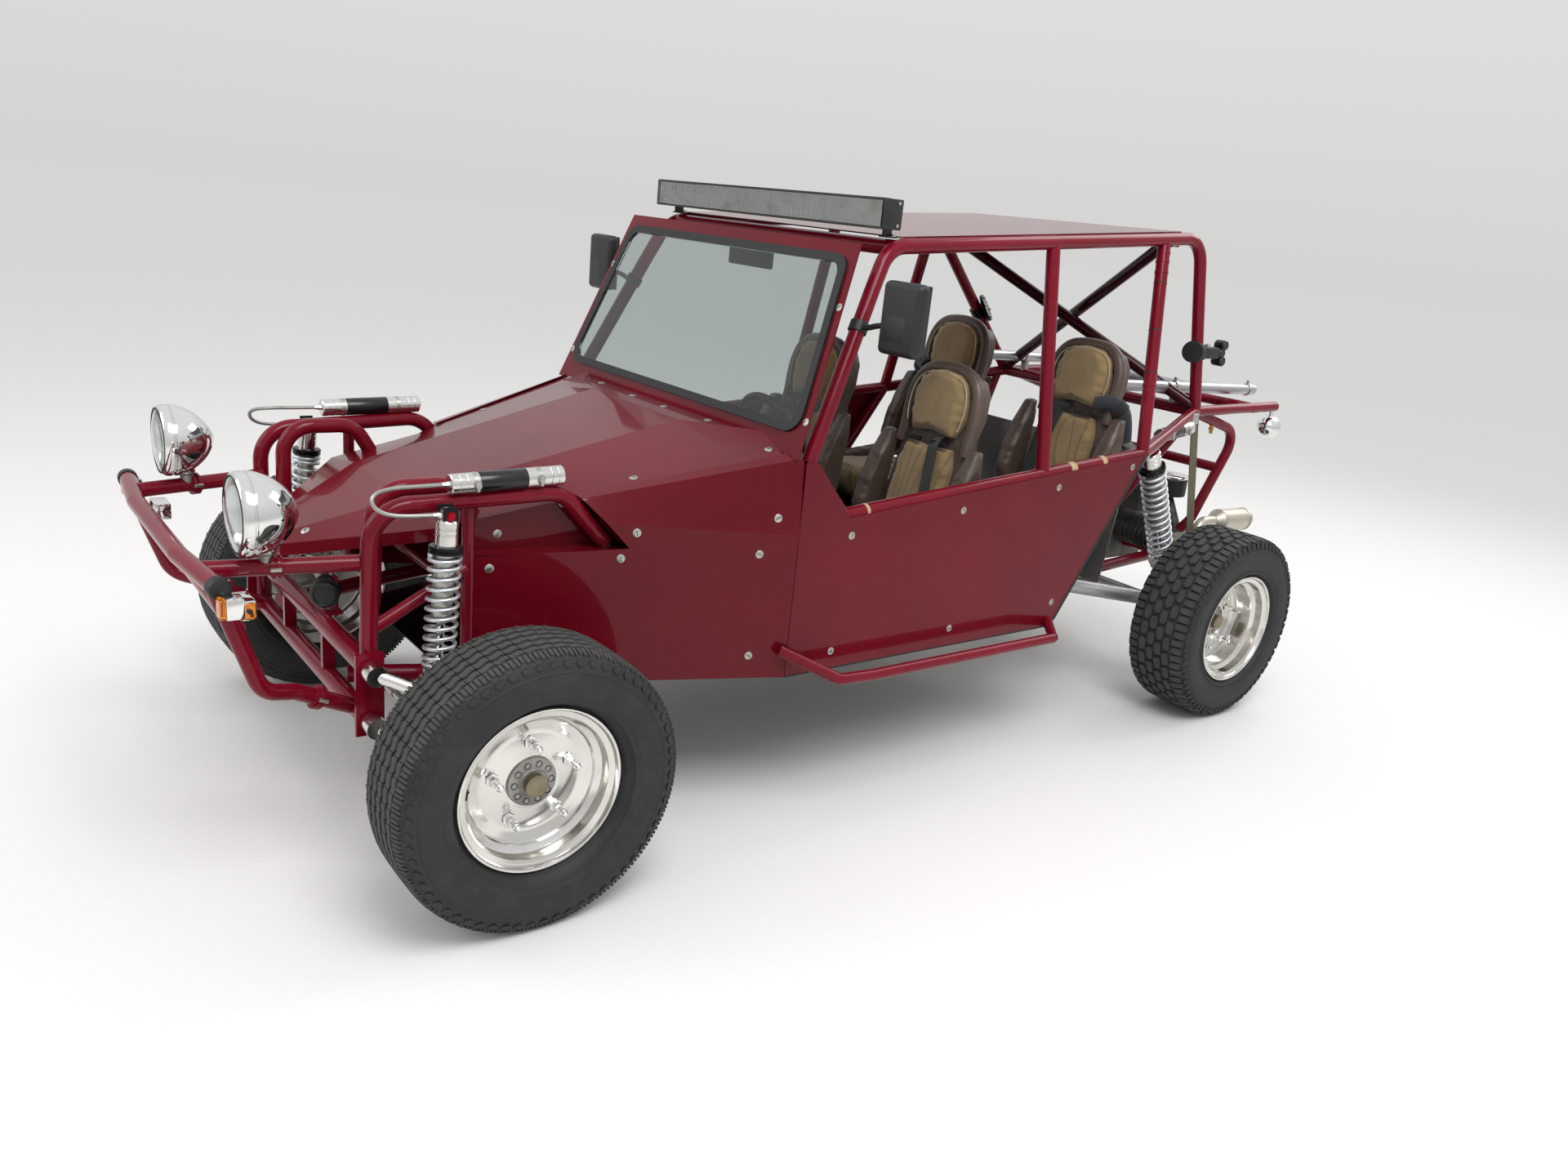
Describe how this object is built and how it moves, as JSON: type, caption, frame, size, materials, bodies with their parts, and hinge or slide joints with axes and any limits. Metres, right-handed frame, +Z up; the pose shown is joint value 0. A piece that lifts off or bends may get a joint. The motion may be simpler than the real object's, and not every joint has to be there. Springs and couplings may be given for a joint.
{
  "type": "dune buggy",
  "caption": "Open tube-frame off-road buggy with sheet panels, bucket seats, coil-over suspension, steered front wheels and free-rolling road wheels.",
  "frame": {"origin": "under the middle of the car, on the ground", "axes": "+X forward, +Y to the driver's left, +Z up"},
  "size_m": [4.105, 1.844, 1.7543],
  "materials": {
    "red_paint": "glossy dark red paint",
    "black_paint": "black paint",
    "black_plastic": "black textured plastic",
    "polished_aluminium": "polished",
    "grey_aluminium": "cast, dull",
    "chrome": "mirror chrome",
    "grey_steel": "plain steel",
    "spring_steel": "bright plated",
    "exhaust_steel": "heat-stained",
    "rubber_black": "black seal",
    "tyre_black": "worn tread",
    "clear_glass": "slightly green",
    "webbing": "olive nylon webbing",
    "seat_cloth": "tan suede cloth with brown vinyl sides"
  },
  "bodies": {
    "chassis": {"belly_pan": "red_paint", "bumper": "red_paint", "cabin_panel_left": "red_paint", "cabin_panel_right": "red_paint", "clamp_plate": "black_paint", "dashboard": "black_paint", "engine": "grey_aluminium", "exhaust": "exhaust_steel", "firewall": "grey_aluminium", "front_arms": "grey_steel", "front_beam": "red_paint", "front_hoops": "red_paint", "front_panel_left": "red_paint", "front_panel_right": "red_paint", "front_reservoirs": "grey_aluminium", "front_shocks": "grey_steel", "front_springs": "spring_steel", "half_shafts": "grey_steel", "headlamps": "chrome", "hood": "red_paint", "light_bar": "black_paint", "limit_straps": "webbing", "lower_frame": "red_paint", "mirrors": "black_plastic", "rear_arms": "grey_steel", "rear_brace": "red_paint", "rear_frame": "red_paint", "rear_rack": "grey_steel", "rear_reservoirs": "grey_aluminium", "rear_shocks": "grey_steel", "rear_springs": "spring_steel", "roll_cage": "red_paint", "roof_panel": "red_paint", "seat_front_left": "seat_cloth", "seat_front_right": "seat_cloth", "seat_mounts": "black_paint", "seat_rear_left": "seat_cloth", "seat_rear_right": "seat_cloth", "shoulder_panel_left": "red_paint", "shoulder_panel_right": "red_paint", "side_bars": "red_paint", "small_lamps": "chrome", "steering_column": "black_paint", "steering_rack": "grey_aluminium", "transaxle": "grey_aluminium", "windscreen_glass": "clear_glass", "windscreen_seal": "rubber_black", "windscreen_surround": "red_paint"},
    "knuckle_left": {"knuckle_left": "grey_steel"},
    "knuckle_right": {"knuckle_right": "grey_steel"},
    "wheel_front_left": {"rim_front_left": "polished_aluminium", "tyre_front_left": "tyre_black"},
    "wheel_front_right": {"rim_front_right": "polished_aluminium", "tyre_front_right": "tyre_black"},
    "wheel_rear_left": {"rim_rear_left": "polished_aluminium", "tyre_rear_left": "tyre_black"},
    "wheel_rear_right": {"rim_rear_right": "polished_aluminium", "tyre_rear_right": "tyre_black"},
    "steering_wheel": {"steering_wheel": "black_plastic"},
    "rack": {"tie_rods": "grey_steel"}
  },
  "joints": [
    {"name": "steer_left", "type": "hinge", "parent": "chassis", "child": "knuckle_left", "pos_m": [1.4035, 0.7, 0.356], "axis": [0, 0, 1], "range_deg": [-26, 26]},
    {"name": "steer_right", "type": "hinge", "parent": "chassis", "child": "knuckle_right", "pos_m": [1.4035, -0.7, 0.356], "axis": [0, 0, 1], "range_deg": [-26, 26]},
    {"name": "steering", "type": "hinge", "parent": "chassis", "child": "steering_wheel", "pos_m": [0.3935, 0.33, 1.012], "axis": [-0.9135, 0, 0.4067], "range_deg": [-260.5, 260.5]},
    {"name": "rack_slide", "type": "slide", "parent": "chassis", "child": "rack", "axis": [0, 1, 0], "range_m": [-0.0618, 0.0618]},
    {"name": "spin_front_left", "type": "hinge", "parent": "knuckle_left", "child": "wheel_front_left", "pos_m": [1.4035, 0.81, 0.356], "axis": [0, 1, 0], "continuous": true},
    {"name": "spin_front_right", "type": "hinge", "parent": "knuckle_right", "child": "wheel_front_right", "pos_m": [1.4035, -0.81, 0.356], "axis": [0, 1, 0], "continuous": true},
    {"name": "spin_rear_left", "type": "hinge", "parent": "chassis", "child": "wheel_rear_left", "pos_m": [-1.4695, 0.76, 0.356], "axis": [0, 1, 0], "continuous": true},
    {"name": "spin_rear_right", "type": "hinge", "parent": "chassis", "child": "wheel_rear_right", "pos_m": [-1.4695, -0.76, 0.356], "axis": [0, 1, 0], "continuous": true}
  ],
  "couplings": [
    {"joint": "steer_right", "follows": "steer_left", "ratio": 1},
    {"joint": "steering", "follows": "steer_left", "ratio": 10},
    {"joint": "rack_slide", "follows": "steer_left", "m_per_rad": 0.1357}
  ]
}
